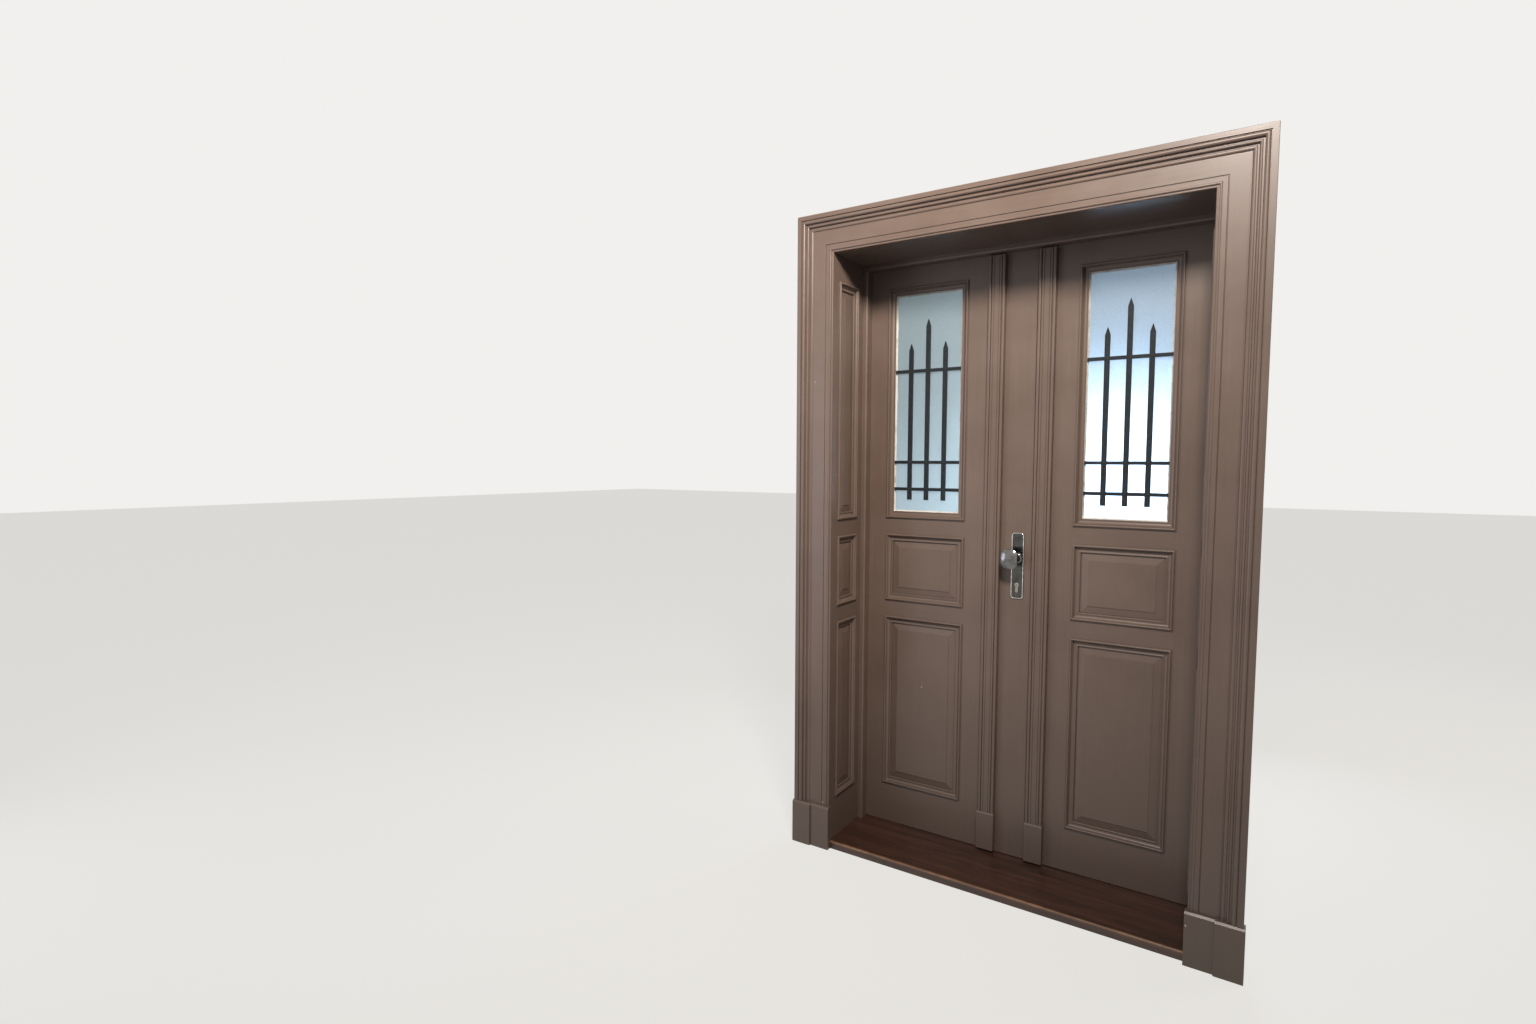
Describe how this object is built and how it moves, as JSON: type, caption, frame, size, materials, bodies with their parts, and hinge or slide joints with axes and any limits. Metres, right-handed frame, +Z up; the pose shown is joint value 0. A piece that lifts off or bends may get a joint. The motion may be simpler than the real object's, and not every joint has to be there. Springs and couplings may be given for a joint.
{
  "type": "french doors",
  "caption": "Double-leaf panelled and glazed entrance doors in a deep panelled reveal, with moulded casing, moulded strips, iron grilles, lock and hardwood threshold.",
  "frame": {"origin": "on the floor, in the middle of the doorway, in the plane of the wall face that the casing lies on", "axes": "+X to the right seen from the approach side, +Y into the wall and away from that side, +Z up"},
  "size_m": [1.604, 0.439, 2.54],
  "materials": {
    "painted_wood": "satin taupe paint on softwood",
    "varnished_hardwood": "dark red-brown varnish",
    "obscured_glass": "obscured, light hammered pattern",
    "wrought_iron": "black painted",
    "hinge_steel": "satin",
    "satin_nickel": "satin nickel plating",
    "cylinder_brass": "nickel-plated brass",
    "lock_steel": "zinc-plated"
  },
  "bodies": {
    "frame": {"casing_head": "painted_wood", "casing_left": "painted_wood", "casing_right": "painted_wood", "first_hinges_frame_half": "hinge_steel", "frame_head": "painted_wood", "frame_post_left": "painted_wood", "frame_post_right": "painted_wood", "head_keep": "painted_wood", "lining_head": "painted_wood", "lining_left": "painted_wood", "lining_mouldings_left": "painted_wood", "lining_mouldings_right": "painted_wood", "lining_panels_left": "painted_wood", "lining_panels_right": "painted_wood", "lining_right": "painted_wood", "plinth_left": "painted_wood", "plinth_right": "painted_wood", "second_hinges_frame_half": "hinge_steel", "threshold": "varnished_hardwood"},
    "first_leaf": {"first_back_mouldings": "painted_wood", "first_bottom_rail": "painted_wood", "first_front_mouldings": "painted_wood", "first_glass": "obscured_glass", "first_grille": "wrought_iron", "first_hinge_stile": "painted_wood", "first_hinges_leaf_half": "hinge_steel", "first_lock_rail": "painted_wood", "first_meeting_stile": "painted_wood", "first_middle_rail": "painted_wood", "first_panels": "painted_wood", "first_strip": "painted_wood", "first_strip_block": "painted_wood", "first_top_rail": "painted_wood", "inner_knob": "satin_nickel", "inner_plate": "satin_nickel", "lock_case": "lock_steel", "lock_cylinder": "cylinder_brass", "outer_knob": "satin_nickel", "outer_plate": "satin_nickel"},
    "second_leaf": {"second_back_mouldings": "painted_wood", "second_bottom_rail": "painted_wood", "second_front_mouldings": "painted_wood", "second_glass": "obscured_glass", "second_grille": "wrought_iron", "second_hinge_stile": "painted_wood", "second_hinges_leaf_half": "hinge_steel", "second_lock_rail": "painted_wood", "second_meeting_stile": "painted_wood", "second_middle_rail": "painted_wood", "second_panels": "painted_wood", "second_strip": "painted_wood", "second_strip_block": "painted_wood", "second_top_rail": "painted_wood", "strike_plate": "lock_steel"},
    "dead_bolt": {"dead_bolt": "lock_steel"},
    "thumb_turn": {"thumb_turn": "satin_nickel"},
    "upper_bolt": {"upper_edge_bolt": "lock_steel"},
    "lower_bolt": {"lower_edge_bolt": "lock_steel"}
  },
  "joints": [
    {"name": "first_leaf_swing", "type": "hinge", "parent": "frame", "child": "first_leaf", "pos_m": [-0.6365, 0.3413, 1.18], "axis": [0, 0, 1], "range_deg": [0, 100]},
    {"name": "second_leaf_swing", "type": "hinge", "parent": "frame", "child": "second_leaf", "pos_m": [0.6365, 0.3413, 1.18], "axis": [0, 0, -1], "range_deg": [0, 100]},
    {"name": "thumb_turn_spin", "type": "hinge", "parent": "first_leaf", "child": "thumb_turn", "pos_m": [0.0075, 0.334, 1.107], "axis": [0, 1, 0], "range_deg": [0, 360]},
    {"name": "dead_bolt_slide", "type": "slide", "parent": "first_leaf", "child": "dead_bolt", "axis": [1, 0, 0], "range_m": [0, 0.02]},
    {"name": "upper_bolt_slide", "type": "slide", "parent": "second_leaf", "child": "upper_bolt", "axis": [0, 0, 1], "range_m": [0, 0.018]},
    {"name": "lower_bolt_slide", "type": "slide", "parent": "second_leaf", "child": "lower_bolt", "axis": [0, 0, -1], "range_m": [0, 0.018]}
  ],
  "couplings": [
    {"joint": "thumb_turn_spin", "follows": "dead_bolt_slide", "rad_per_m": 314.16}
  ]
}
